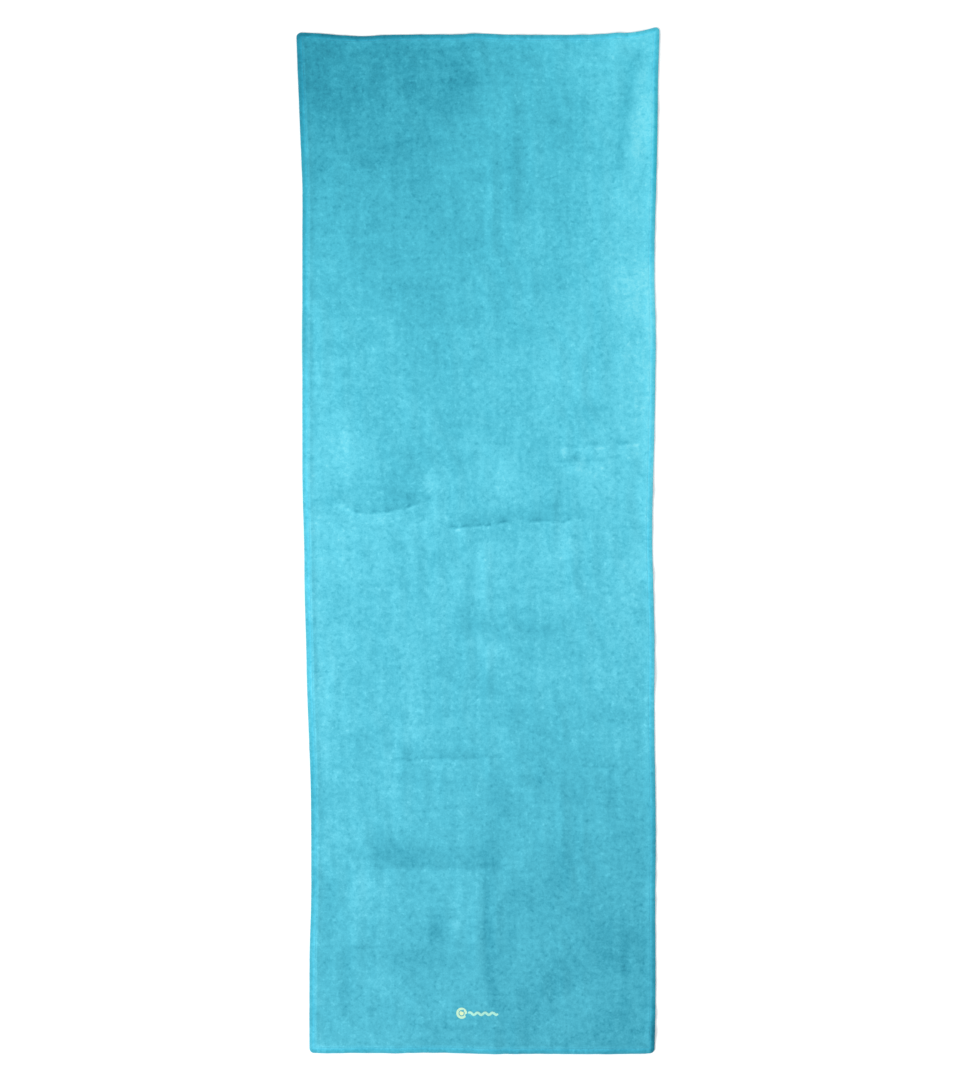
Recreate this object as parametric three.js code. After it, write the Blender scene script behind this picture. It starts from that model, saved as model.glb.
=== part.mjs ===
// A quick dry towel of thin brushed microfibre, lying flat with its face up.
//
// Millimetres, +Z up. X runs across the towel, Y runs along it towards the head end, and the towel rests
// on z = 0. The cloth turns down round its own edge and is folded under as a hem, which a seam of two threads
// holds: the needle thread shows on the face and the bobbin thread on the back.
// Each piece is laid out on a plain rectangle first. fitted() then carries it to the towel's real outline.

import * as THREE from "three";

// ---- Driving dimensions ----

const TOWEL_WIDTH = 610;
const TOWEL_LENGTH = 1727;
const CORNER_RADIUS = 8;

const CLOTH_THICKNESS = 1.0;
const HEM_WIDTH = 11;
const HEM_THICKNESS = 1.6; // two plies, pressed flat
const GAP = 0.3; // clearance between neighbouring pieces

const EDGE_FOLD = 1.2; // cloth that turns down round the hem
const EDGE_ROUNDING = 0.5;
const STITCH_INSET = 10;
const THREAD_WIDTH = 0.5;
const THREAD_HEIGHT = 0.35;
const THREAD_SINK = 0.275; // how far the needle thread sinks into the face

const MARK_LEFT = -46;
const MARK_WIDTH = 74;
const MARK_RISE = 68; // from the foot end to the mark's middle
const RING_RADIUS = 9.5;
const RING_BAND = 4.2;
const DOT_RADIUS = 3.8;
const MARK_SPACE = 2; // between the ring and the wave
const WAVE_BAND = 4.4;
const WAVE_RISE = 1.8; // from its middle line to a crest's middle
const WAVE_COUNT = 4;
const FILM_THICKNESS = 0.25;

// The cloth isn't a true rectangle. Each list runs at even steps, the long edges from head to foot and the
// ends from left to right. The long edges lie inside the plain rectangle by this much, and the ends lie
// outside it.
const LEFT_EDGE_IN = [
  -2, 1, 4.5, 8, 8, 8, 8, 8, 8, 8.5, 11, 12, 14.5, 16.5, 20, 22.5, 23, 23, 20.5, 20, 20,
];
const RIGHT_EDGE_IN = [
  -2.5, 0, 1, 3, 5.5, 6, 4, 5, 6.5, 9, 10, 8, 6, 6.5, 6, 4.5, 4, 5, 4.5, 4.5, 6,
];
const HEAD_EDGE_OUT = [-5, -6.5, -9.5, -11, -9, -8.5, -8, -8.5, -6.5, -8, -9, -9, -9, -8.5, -6, -4, 5];
const FOOT_EDGE_OUT = [4.5, 5, 4.5, 4.5, 5, 4, 4, 5, 6, 6, 6, 6, 6.5, 6.5, 6.5, 6, 4.5];

// ---- Worked out from those ----

const HALF_WIDTH = TOWEL_WIDTH / 2;
const HALF_LENGTH = TOWEL_LENGTH / 2;
const FOLD_WALL = 0.2; // run of the steep inner wall of the edge fold
const HEM_OUTER = EDGE_FOLD + FOLD_WALL + GAP;
const HEM_INNER = HEM_OUTER + HEM_WIDTH;
const HEM_ROUNDING = 0.4;
const OVER_HEM = HEM_THICKNESS + GAP;
const FACE_OVER_HEM = OVER_HEM + CLOTH_THICKNESS;
const SHOULDER_INSET = 4.5; // from here to the stitches the face is level
const EDGE_DROP = 0.2; // how far the face falls from the shoulder to the edge fold
const SLOPE_INSET = 18; // halfway down from the hem to the floor
const SLOPE_UNDER = 0.9;
const FLAT_INSET = 24; // from here inwards the cloth lies on the floor

const GROOVE_HALF = THREAD_WIDTH / 2 + GAP;
const GROOVE_SLOPE = 0.15;
const GROOVE_DEPTH = THREAD_SINK + GAP;
const HEM_GROOVE_DEPTH = THREAD_HEIGHT + GAP;
const GROOVE_LINES = [-GROOVE_HALF - GROOVE_SLOPE, -GROOVE_HALF, GROOVE_HALF, GROOVE_HALF + GROOVE_SLOPE];
const GROOVE_INSETS = GROOVE_LINES.map((offset) => STITCH_INSET + offset);

// The panel's section from its edge inwards: the heights of its underside and face at each inset.
const PANEL_SECTION = [
  { inset: 0, under: EDGE_ROUNDING, over: FACE_OVER_HEM - EDGE_FOLD },
  { inset: EDGE_FOLD, under: 0, over: FACE_OVER_HEM - EDGE_DROP },
  { inset: EDGE_FOLD + FOLD_WALL, under: OVER_HEM, over: FACE_OVER_HEM - EDGE_DROP },
  { inset: SHOULDER_INSET, under: OVER_HEM, over: FACE_OVER_HEM },
  { inset: CORNER_RADIUS, under: OVER_HEM, over: FACE_OVER_HEM },
  { inset: GROOVE_INSETS[0], under: OVER_HEM, over: FACE_OVER_HEM },
  { inset: GROOVE_INSETS[1], under: OVER_HEM, over: FACE_OVER_HEM - GROOVE_DEPTH },
  { inset: GROOVE_INSETS[2], under: OVER_HEM, over: FACE_OVER_HEM - GROOVE_DEPTH },
  { inset: GROOVE_INSETS[3], under: OVER_HEM, over: FACE_OVER_HEM },
  { inset: HEM_INNER + GAP, under: OVER_HEM, over: FACE_OVER_HEM },
  { inset: SLOPE_INSET, under: SLOPE_UNDER, over: SLOPE_UNDER + CLOTH_THICKNESS },
  { inset: FLAT_INSET, under: 0, over: CLOTH_THICKNESS },
];

// The hem's section, from its outer fold inwards, with the groove that the bobbin thread lies in.
const HEM_SECTION = [
  { inset: HEM_OUTER, under: HEM_ROUNDING, over: HEM_THICKNESS - HEM_ROUNDING },
  { inset: HEM_OUTER + HEM_ROUNDING, under: 0, over: HEM_THICKNESS },
  { inset: SHOULDER_INSET, under: 0, over: HEM_THICKNESS },
  { inset: CORNER_RADIUS, under: 0, over: HEM_THICKNESS },
  { inset: GROOVE_INSETS[0], under: 0, over: HEM_THICKNESS },
  { inset: GROOVE_INSETS[1], under: HEM_GROOVE_DEPTH, over: HEM_THICKNESS },
  { inset: GROOVE_INSETS[2], under: HEM_GROOVE_DEPTH, over: HEM_THICKNESS },
  { inset: GROOVE_INSETS[3], under: 0, over: HEM_THICKNESS },
  { inset: HEM_INNER - HEM_ROUNDING, under: 0, over: HEM_THICKNESS },
  { inset: HEM_INNER, under: HEM_ROUNDING, over: HEM_THICKNESS - HEM_ROUNDING },
];

const STEPS_ACROSS = HEAD_EDGE_OUT.length - 1;
const STEPS_ALONG = LEFT_EDGE_IN.length - 1;

// ---- Materials ----

function material(color, roughness) {
  return new THREE.MeshStandardMaterial({ color, roughness, metalness: 0 });
}

const microfibre = () => material("#57c2d8", 0.95);
const thread = () => material("#3fb0c9", 0.6);
const film = () => material("#dcf6e6", 0.55);

// ---- The outline ----

// A smooth curve through values at even steps from 0 to 1.
function curveThrough(values) {
  const curve = new THREE.SplineCurve(values.map((value, i) => new THREE.Vector2(i, value)));
  return (share) => curve.getPoint(THREE.MathUtils.clamp(share, 0, 1)).y;
}

const leftEdgeIn = curveThrough(LEFT_EDGE_IN);
const rightEdgeIn = curveThrough(RIGHT_EDGE_IN);
const headEdgeOut = curveThrough(HEAD_EDGE_OUT);
const footEdgeOut = curveThrough(FOOT_EDGE_OUT);

// Square rings about a corner become round ones.
function cornerRounded(x, y) {
  const beyondX = Math.abs(x) - (HALF_WIDTH - CORNER_RADIUS);
  const beyondY = Math.abs(y) - (HALF_LENGTH - CORNER_RADIUS);
  if (beyondX <= 0 || beyondY <= 0) return [x, y];
  const pull = 1 - Math.max(beyondX, beyondY) / Math.hypot(beyondX, beyondY);
  return [x - Math.sign(x) * beyondX * pull, y - Math.sign(y) * beyondY * pull];
}

// Where a point of the plain rectangle lies on the real towel.
function fitted(x, y) {
  const [roundX, roundY] = cornerRounded(x, y);
  const across = roundX / TOWEL_WIDTH + 0.5;
  const along = 0.5 - roundY / TOWEL_LENGTH;
  return [
    roundX + leftEdgeIn(along) * (1 - across) - rightEdgeIn(along) * across,
    roundY + headEdgeOut(across) * (1 - along) - footEdgeOut(across) * along,
  ];
}

// ---- Building blocks ----

function evenSteps(from, to, steps) {
  return Array.from({ length: steps + 1 }, (_, i) => from + ((to - from) * i) / steps);
}

// Grid lines across a width of 2 * half: close together at both edges, and even in between.
function linesFromBothEdges(half, insets, steps) {
  const inner = half - Math.max(...insets);
  const between = evenSteps(-inner, inner, steps).slice(1, -1);
  const edge = insets.map((inset) => half - inset);
  return [...edge.map((line) => -line), ...between, ...edge.reverse()];
}

// The panel's grid lines. What runs along an edge is stepped at the same lines, so that it bends with the
// panel.
const PANEL_INSETS = PANEL_SECTION.map((line) => line.inset);
const PANEL_XS = linesFromBothEdges(HALF_WIDTH, PANEL_INSETS, STEPS_ACROSS);
const PANEL_YS = linesFromBothEdges(HALF_LENGTH, PANEL_INSETS, STEPS_ALONG);

// The panel's lines between -half and half, with those two ends added.
function runOf(lines, half) {
  const inside = lines.filter((line) => Math.abs(line) < half - GAP);
  return [-half, ...inside, half];
}

// A closed block over the grid of xs and ys, both rising. heights(x, y) gives its underside and face there.
function block(xs, ys, heights) {
  const columns = xs.length - 1;
  const rows = ys.length - 1;
  const geometry = new THREE.BoxGeometry(columns, rows, 1, columns, rows, 1);
  const position = geometry.getAttribute("position");
  for (let i = 0; i < position.count; i++) {
    const x = xs[Math.round(position.getX(i) + columns / 2)];
    const y = ys[Math.round(position.getY(i) + rows / 2)];
    const { under, over } = heights(x, y);
    position.setXYZ(i, ...fitted(x, y), position.getZ(i) < 0 ? under : over);
  }
  geometry.computeVertexNormals();
  return geometry;
}

// The heights of a section at an inset that is one of its own lines, or beyond its last line.
function sectionAt(section, inset) {
  return section.find((line) => inset <= line.inset + 1e-6) ?? section[section.length - 1];
}

const insetAcross = (x) => HALF_WIDTH - Math.abs(x);
const insetAlong = (y) => HALF_LENGTH - Math.abs(y);

function named(name, geometry, meshMaterial) {
  const mesh = new THREE.Mesh(geometry, meshMaterial);
  mesh.name = name;
  return mesh;
}

// ---- Towel panel ----

function towelPanel() {
  const heights = (x, y) => sectionAt(PANEL_SECTION, Math.min(insetAcross(x), insetAlong(y)));
  return named("towel_panel", block(PANEL_XS, PANEL_YS, heights), microfibre());
}

// ---- Hems ----

// side is 1 at the head or the right, and -1 at the foot or the left.
function hemLines(half, side) {
  const lines = HEM_SECTION.map((line) => side * (half - line.inset));
  return side > 0 ? lines.reverse() : lines;
}

// An end hem runs the whole way across, and follows the rounded corners.
function endHem(name, side) {
  const half = HALF_WIDTH - HEM_OUTER;
  const xs = [-half, ...runOf(PANEL_XS, half - HEM_ROUNDING), half];
  const heights = (x, y) => {
    const section = sectionAt(HEM_SECTION, insetAlong(y));
    const end = sectionAt(HEM_SECTION.slice(0, 2), insetAcross(x));
    return { under: Math.max(section.under, end.under), over: Math.min(section.over, end.over) };
  };
  return named(name, block(xs, hemLines(HALF_LENGTH, side), heights), microfibre());
}

// A side hem runs between the two end hems.
function sideHem(name, side) {
  const half = HALF_LENGTH - HEM_INNER - GAP;
  const ys = runOf(PANEL_YS, half);
  const heights = (x) => sectionAt(HEM_SECTION, insetAcross(x));
  return named(name, block(hemLines(HALF_WIDTH, side), ys, heights), microfibre());
}

// ---- Seams ----

const NEEDLE = { under: FACE_OVER_HEM - THREAD_SINK, over: FACE_OVER_HEM - THREAD_SINK + THREAD_HEIGHT };
const BOBBIN = { under: 0, over: THREAD_HEIGHT };

function acrossThread(line) {
  return [line - THREAD_WIDTH / 2, line + THREAD_WIDTH / 2];
}

// The end seams run from side seam to side seam, and past them.
function endSeam(name, side, heights) {
  const half = HALF_WIDTH - STITCH_INSET;
  const ys = acrossThread(side * (HALF_LENGTH - STITCH_INSET));
  return named(name, block(runOf(PANEL_XS, half), ys, () => heights), thread());
}

// The side seams stop just short of the end seams. A bobbin thread also stops where its own hem does.
function sideSeam(name, side, heights, endInset) {
  const half = HALF_LENGTH - endInset;
  const xs = acrossThread(side * (HALF_WIDTH - STITCH_INSET));
  return named(name, block(xs, runOf(PANEL_YS, half), () => heights), thread());
}

const NEEDLE_END = STITCH_INSET + THREAD_WIDTH / 2 + GAP;
const BOBBIN_END = HEM_INNER + GAP;

// ---- The mark on the face: a ring round a dot, and a wavy line, of thin film ----

const MARK_Y = -HALF_LENGTH + MARK_RISE;
const FILM_UNDER = CLOTH_THICKNESS + GAP;
const CIRCLE_STEPS = 32;
const WAVE_STEPS = 12; // to one wave

function circle(radius) {
  const turns = evenSteps(0, 2 * Math.PI, CIRCLE_STEPS).slice(0, -1);
  return turns.map((turn) => new THREE.Vector2(radius * Math.cos(turn), radius * Math.sin(turn)));
}

function ringShape() {
  const shape = new THREE.Shape(circle(RING_RADIUS));
  shape.holes.push(new THREE.Path(circle(RING_RADIUS - RING_BAND)));
  return shape;
}

// A wavy band of even width that runs from x = 0.
function waveShape(length) {
  const stretch = (2 * Math.PI * WAVE_COUNT) / length;
  const side = (offset) =>
    evenSteps(0, length, WAVE_COUNT * WAVE_STEPS).map((x) => {
      const slope = WAVE_RISE * stretch * Math.cos(stretch * x);
      const run = Math.hypot(1, slope);
      return new THREE.Vector2(x - (offset * slope) / run, WAVE_RISE * Math.sin(stretch * x) + offset / run);
    });
  return new THREE.Shape([...side(-WAVE_BAND / 2), ...side(WAVE_BAND / 2).reverse()]);
}

// left places the shape's origin from the mark's left end.
function filmPiece(name, shape, left) {
  const geometry = new THREE.ExtrudeGeometry(shape, { depth: FILM_THICKNESS, bevelEnabled: false });
  geometry.translate(MARK_LEFT + left, MARK_Y, FILM_UNDER);
  const position = geometry.getAttribute("position");
  for (let i = 0; i < position.count; i++) {
    position.setXY(i, ...fitted(position.getX(i), position.getY(i)));
  }
  return named(name, geometry, film());
}

function mark() {
  const waveStart = 2 * RING_RADIUS + MARK_SPACE;
  const group = new THREE.Group();
  group.add(
    filmPiece("mark_ring", ringShape(), RING_RADIUS),
    filmPiece("mark_dot", new THREE.Shape(circle(DOT_RADIUS)), RING_RADIUS),
    filmPiece("mark_wave", waveShape(MARK_WIDTH - waveStart), waveStart),
  );
  return group;
}

// ---- Assembly ----

const towel = new THREE.Group();
towel.add(
  towelPanel(),
  endHem("head_hem", 1),
  endHem("foot_hem", -1),
  sideHem("left_hem", -1),
  sideHem("right_hem", 1),
  endSeam("head_needle_thread", 1, NEEDLE),
  endSeam("foot_needle_thread", -1, NEEDLE),
  sideSeam("left_needle_thread", -1, NEEDLE, NEEDLE_END),
  sideSeam("right_needle_thread", 1, NEEDLE, NEEDLE_END),
  endSeam("head_bobbin_thread", 1, BOBBIN),
  endSeam("foot_bobbin_thread", -1, BOBBIN),
  sideSeam("left_bobbin_thread", -1, BOBBIN, BOBBIN_END),
  sideSeam("right_bobbin_thread", 1, BOBBIN, BOBBIN_END),
  mark(),
);

// The origin is under the middle of the towel's box.
const middle = new THREE.Box3().setFromObject(towel).getCenter(new THREE.Vector3());
towel.position.set(-middle.x, -middle.y, 0);

const part = new THREE.Group();
part.add(towel);

export default part;
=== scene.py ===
import math

import bpy
import numpy as np
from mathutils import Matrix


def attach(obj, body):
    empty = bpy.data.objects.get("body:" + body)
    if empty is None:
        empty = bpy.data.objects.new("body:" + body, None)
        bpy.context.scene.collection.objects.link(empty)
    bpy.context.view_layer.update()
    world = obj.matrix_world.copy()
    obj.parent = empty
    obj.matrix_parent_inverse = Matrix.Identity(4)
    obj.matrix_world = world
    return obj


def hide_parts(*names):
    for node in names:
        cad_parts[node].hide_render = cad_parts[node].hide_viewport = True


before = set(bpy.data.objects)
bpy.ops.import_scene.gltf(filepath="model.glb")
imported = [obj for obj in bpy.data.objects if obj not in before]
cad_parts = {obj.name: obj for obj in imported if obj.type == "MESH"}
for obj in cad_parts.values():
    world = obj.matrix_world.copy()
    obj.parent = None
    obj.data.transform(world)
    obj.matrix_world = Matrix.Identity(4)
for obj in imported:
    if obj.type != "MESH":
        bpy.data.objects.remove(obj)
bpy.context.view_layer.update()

# A quick dry towel of brushed microfibre, spread on a floor and seen from straight above.
#
# Every size below is in millimetres unless it says otherwise, and mesh_object() turns them into metres.
# Pieces are laid out on a plain rectangle first, and fitted() carries them to the towel's real outline.
# Three things then give the height: the lie of the cloth after it has been dropped on the floor, the
# section of its hemmed edge, and the small sharp creases.

MM = 0.001

# ---- Sizes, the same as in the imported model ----

TOWEL_WIDTH = 610
TOWEL_LENGTH = 1727
CORNER_RADIUS = 8

# The cloth isn't a true rectangle. Each list runs at even steps, the long edges from head to foot and the
# ends from left to right. The long edges lie inside the plain rectangle by this much, and the ends outside.
# All but two values are within half a millimetre of what a scratch program measured in the photo.
LEFT_EDGE_IN = [
    -2, 1, 4.5, 8, 8, 8, 8, 8, 8, 8.5, 11, 12, 14.5, 16.5, 20, 22.5, 23, 23, 20.5, 20, 20,
]
RIGHT_EDGE_IN = [
    -2.5, 0, 1, 3, 5.5, 6, 4, 5, 6.5, 9, 10, 8, 6, 6.5, 6, 4.5, 4, 5, 4.5, 4.5, 6,
]
HEAD_EDGE_OUT = [-5, -6.5, -9.5, -11, -9, -8.5, -8, -8.5, -6.5, -8, -9, -9, -9, -8.5, -6, -4, 5]
FOOT_EDGE_OUT = [4.5, 5, 4.5, 4.5, 5, 4, 4, 5, 6, 6, 6, 6, 6.5, 6.5, 6.5, 6, 4.5]

OUTLINE_STEPS = 240  # along each side, where the outline's box is worked out

HALF_WIDTH = TOWEL_WIDTH / 2
HALF_LENGTH = TOWEL_LENGTH / 2

STITCH_INSET = 10
STITCH_LENGTH = 3.2
THREAD_RADIUS = 0.27

# The towel's section from its edge inwards: inset, underside, face.
EDGE_SECTION = [
    (0, 1.0, 1.9),
    (0.35, 0.4, 2.5),
    (0.9, 0.08, 2.78),
    (1.3, 0, 2.86),
    (1.7, 1.85, 2.9),
    (3, 1.9, 2.95),
    (4.5, 1.9, 2.97),
    (6.5, 1.9, 2.96),
    (8, 1.9, 2.92),
    (9, 1.85, 2.8),
    (9.6, 1.8, 2.66),
    (10, 1.8, 2.62),
    (10.4, 1.8, 2.66),
    (11, 1.85, 2.78),
    (12, 1.9, 2.84),
    (13, 1.9, 2.74),
    (14.5, 1.4, 2.4),
    (16.5, 0.75, 1.75),
    (19, 0.25, 1.25),
    (23, 0, 1.0),
]

# The hem's section, under the towel: inset, underside, face.
HEM_SECTION = [
    (1.75, 0.7, 1.0),
    (2.0, 0.25, 1.4),
    (2.5, 0.02, 1.58),
    (4.5, 0, 1.62),
    (8, 0.02, 1.6),
    (9.2, 0.15, 1.55),
    (10, 0.42, 1.5),
    (10.8, 0.15, 1.55),
    (11.8, 0.0, 1.6),
    (12.4, 0.12, 1.5),
    (12.65, 0.6, 1.05),
]

# ---- Shape helpers ----


def curve_through(values, share):
    """A smooth curve through values at even steps, read at shares from 0 to 1."""
    values = np.asarray(values, float)
    last = len(values) - 1
    place = np.clip(share, 0, 1) * last
    start = np.minimum(place.astype(int), last)
    weight = place - start
    before, here, after, beyond = (values[np.clip(start + step, 0, last)] for step in (-1, 0, 1, 2))
    into, out = (after - before) / 2, (beyond - here) / 2
    cubic = 2 * here - 2 * after + into + out
    square = -3 * here + 3 * after - 2 * into - out
    return ((cubic * weight + square) * weight + into) * weight + here


def corner_rounded(x, y):
    """Square rings about a corner become round ones."""
    beyond_x = np.abs(x) - (HALF_WIDTH - CORNER_RADIUS)
    beyond_y = np.abs(y) - (HALF_LENGTH - CORNER_RADIUS)
    in_corner = (beyond_x > 0) & (beyond_y > 0)
    far = np.where(in_corner, np.hypot(beyond_x, beyond_y), 1)
    pull = np.where(in_corner, 1 - np.maximum(beyond_x, beyond_y) / far, 0)
    return x - np.sign(x) * beyond_x * pull, y - np.sign(y) * beyond_y * pull


def outline(x, y):
    """Where a point of the plain rectangle lies on the real towel, before the towel is centred."""
    x, y = corner_rounded(np.asarray(x, float), np.asarray(y, float))
    across = x / TOWEL_WIDTH + 0.5
    along = 0.5 - y / TOWEL_LENGTH
    left, right = curve_through(LEFT_EDGE_IN, along), curve_through(RIGHT_EDGE_IN, along)
    head, foot = curve_through(HEAD_EDGE_OUT, across), curve_through(FOOT_EDGE_OUT, across)
    return x + left * (1 - across) - right * across, y + head * (1 - along) - foot * along


def outline_middle():
    """The middle of the real outline's box."""
    count = OUTLINE_STEPS + 1
    run = np.linspace(-1, 1, count)
    long_x, _ = outline(np.repeat([-HALF_WIDTH, HALF_WIDTH], count), np.tile(run * HALF_LENGTH, 2))
    _, end_y = outline(np.tile(run * HALF_WIDTH, 2), np.repeat([-HALF_LENGTH, HALF_LENGTH], count))
    return (long_x.min() + long_x.max()) / 2, (end_y.min() + end_y.max()) / 2


MIDDLE_X, MIDDLE_Y = outline_middle()


def fitted(x, y):
    """Where a point of the plain rectangle lies on the real towel, in the row frame."""
    real_x, real_y = outline(x, y)
    return real_x - MIDDLE_X, real_y - MIDDLE_Y


def inset_at(x, y):
    """How far a point of the plain rectangle is from its nearest edge."""
    return np.minimum(HALF_WIDTH - np.abs(x), HALF_LENGTH - np.abs(y))


def section_height(section, column, inset):
    """One column of a section, read at an inset."""
    return np.interp(inset, [line[0] for line in section], [line[column] for line in section])


def smooth_step(share):
    """0 to 1 with soft ends."""
    share = np.clip(share, 0, 1)
    return share * share * (3 - 2 * share)


def ripple(values, seed, longest, shortest, count=5):
    """A wandering line that is mostly between -1 and 1, and the same each time for one seed."""
    source = np.random.default_rng(seed)
    total = np.zeros_like(values, dtype=float)
    for i in range(count):
        wavelength = longest * (shortest / longest) ** (i / (count - 1))
        total += np.sin(2 * np.pi * (values / wavelength + source.random()))
    return total / math.sqrt(count)


def bumps(x, y, seed, size, count=14):
    """Soft uneven ground, mostly between -1 and 1, with bumps about that far apart."""
    source = np.random.default_rng(seed)
    total = np.zeros_like(x, dtype=float)
    for _ in range(count):
        heading = source.uniform(0, 2 * math.pi)
        reach = size * source.uniform(0.7, 1.8)
        phase = source.uniform(0, 2 * math.pi)
        total += np.sin(2 * np.pi * (x * math.cos(heading) + y * math.sin(heading)) / reach + phase)
    return total / math.sqrt(count)


def lobe(x, y, at_x, at_y, reach_x, reach_y, height):
    """A round or oval swelling."""
    return height * np.exp(-(((x - at_x) / reach_x) ** 2) - ((y - at_y) / reach_y) ** 2)


def fold(along, across, line, height, reach, far_reach=None, fade=40):
    """A ridge that follows line, which is (along, across) points, and dies away at both its ends over the
    length fade. reach is how far it spreads to the low side, and far_reach to the high side."""
    start, end = line[0][0], line[-1][0]
    fade = min(fade, (end - start) / 3)
    centre = np.interp(along, [point[0] for point in line], [point[1] for point in line])
    off = across - centre
    spread = np.where(off < 0, reach, far_reach or reach)
    ends = smooth_step((along - start) / fade) * smooth_step((end - along) / fade)
    return height * ends * np.exp(-((off / spread) ** 2))


# ---- How the towel lies ----

# The sharp crosswise creases near the middle, as (x, y) points.
LEFT_CREASE = [
    (-243, 79), (-229, 63), (-216, 55), (-200, 51), (-178, 52),
    (-150, 56), (-128, 59), (-110, 64), (-93, 70),
]
MIDDLE_CREASE = [(-58, 26), (-28, 27), (5, 29), (28, 31), (45, 35), (64, 39)]
MIDDLE_CREASE_END = [(84, 39), (122, 38), (150, 37), (166, 42), (192, 47)]
RIGHT_CREASE = [(122, 139), (152, 139), (190, 140), (246, 144)]
RIGHT_CREASE_UPPER = [(150, 163), (196, 165), (240, 166), (288, 169)]

# The soft ones further down, as (x, y) points.
UPPER_SOFT_CREASE = [(-160, -369), (-100, -367), (-50, -366), (42, -361)]
RIGHT_SOFT_CREASE = [(165, -380), (200, -378), (245, -381)]

# Lengthwise folds, as (y, x) points, with their height and reach.
LENGTHWISE_FOLDS = [
    ([(400, 50), (600, 56), (830, 52)], 1.6, 14),
    ([(540, 200), (700, 212), (780, 230), (850, 246)], 1.7, 20),
    ([(210, 206), (400, 208), (610, 205)], 0.9, 9),
    ([(-800, 0), (-700, -6), (-560, -10)], 0.9, 13),
    ([(-800, -222), (-690, -218), (-540, -220)], 1.4, 14),
    ([(-440, -226), (-320, -224)], 1.0, 9),
    ([(-300, -120), (-100, -104), (60, -110)], 0.8, 26),
]

# Crosswise folds, as (x, y) points, with their height and reach.
CROSSWISE_FOLDS = [
    (LEFT_CREASE, 2.2, 10),
    (MIDDLE_CREASE, 2.2, 10),
    (MIDDLE_CREASE_END, 1.6, 10),
    (RIGHT_CREASE, 1.0, 11),
    (RIGHT_CREASE_UPPER, 1.0, 11),
    ([(-60, -150), (60, -152), (165, -150)], 0.8, 16),
    (UPPER_SOFT_CREASE, 1.0, 9),
    (RIGHT_SOFT_CREASE, 0.8, 9),
    ([(-200, -548), (-110, -549), (20, -546)], 1.0, 14),
]

# Lifted corners and edges: where, how far they spread, and how high.
LIFTS = [
    (302, 858, 46, 60, 7.5),
    (300, 745, 23, 130, 5.0),
    (-302, 858, 34, 36, 4.5),
    (300, -858, 40, 46, 6.0),
    (-300, -860, 30, 26, 3.0),
    (-302, 330, 16, 80, 2.6),
    (-300, -150, 18, 130, 2.6),
    (-302, -600, 14, 90, 2.0),
    (302, 60, 16, 80, 2.4),
    (302, -420, 14, 110, 2.2),
    (80, 860, 60, 16, 2.6),
    (-160, 860, 50, 14, 2.0),
    (-110, -862, 80, 14, 2.2),
    (150, -862, 60, 14, 2.0),
]

SIM_COLUMNS = 53
SIM_ROWS = 149
SIM_FRAMES = 30
SIM_DROP = 4.0
SIM_GROUND = 3  # metres from the middle to each side
SIM_CLEARANCE = 1.0  # each, of the cloth and of the floor
LIE_LIMIT = 8.5  # the highest that the cloth's underside may lie

GROUND_RISE = 0.45  # half the height of the soft bumps all over the towel
GROUND_SIZE = 170  # how far apart they are


def first_lie(x, y):
    """How the towel lies before it settles, in millimetres above the floor."""
    height = GROUND_RISE * (1 + bumps(x, y, seed=3, size=GROUND_SIZE))
    for place in LIFTS:
        height = height + lobe(x, y, *place)
    for line, rise, reach in LENGTHWISE_FOLDS:
        height = height + fold(y, x, line, rise, reach)
    for line, rise, reach in CROSSWISE_FOLDS:
        height = height + fold(x, y, line, rise, reach)
    return np.maximum(height, 0)


def simulated_lie(x, y):
    """The same cloth after it has dropped on the floor and settled there."""
    rows, columns = x.shape
    points = np.stack([x, y, first_lie(x, y) + SIM_DROP], -1).reshape(-1, 3) * MM
    index = np.arange(rows * columns).reshape(rows, columns)
    corners = (index[:-1, :-1], index[:-1, 1:], index[1:, 1:], index[1:, :-1])
    mesh = bpy.data.meshes.new("settling_cloth")
    mesh.from_pydata(points.tolist(), [], np.stack(corners, -1).reshape(-1, 4).tolist())
    cloth = bpy.data.objects.new("settling_cloth", mesh)
    ground_mesh = bpy.data.meshes.new("settling_ground")
    reach = SIM_GROUND
    ground_corners = [(-reach, -reach, 0), (reach, -reach, 0), (reach, reach, 0), (-reach, reach, 0)]
    ground_mesh.from_pydata(ground_corners, [], [(0, 1, 2, 3)])
    ground = bpy.data.objects.new("settling_ground", ground_mesh)
    for piece in (cloth, ground):
        bpy.context.scene.collection.objects.link(piece)
    ground.modifiers.new("Collision", "COLLISION")
    ground.collision.thickness_outer = SIM_CLEARANCE * MM
    ground.collision.cloth_friction = 60

    modifier = cloth.modifiers.new("Cloth", "CLOTH")
    settings = modifier.settings
    settings.quality = 6
    settings.mass = 0.1
    settings.tension_stiffness = 25
    settings.compression_stiffness = 25
    settings.shear_stiffness = 12
    settings.bending_stiffness = 1.5
    settings.bending_damping = 2
    settings.air_damping = 3
    modifier.collision_settings.distance_min = SIM_CLEARANCE * MM
    scene = bpy.context.scene
    for number in range(1, SIM_FRAMES + 1):
        scene.frame_set(number)
    settled = cloth.evaluated_get(bpy.context.evaluated_depsgraph_get())
    found = np.zeros(rows * columns * 3, np.float32)
    settled.data.vertices.foreach_get("co", found)
    scene.frame_set(1)
    for piece in (cloth, ground):
        bpy.data.objects.remove(piece)
    return found.reshape(rows, columns, 3)[..., 2] / MM - 2 * SIM_CLEARANCE


LIE_XS = np.linspace(-HALF_WIDTH, HALF_WIDTH, SIM_COLUMNS)
LIE_YS = np.linspace(-HALF_LENGTH, HALF_LENGTH, SIM_ROWS)
LIE_GRID = np.meshgrid(LIE_XS, LIE_YS)
LIE = simulated_lie(*LIE_GRID)
LIE = np.clip(LIE, 0, LIE_LIMIT)


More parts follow.
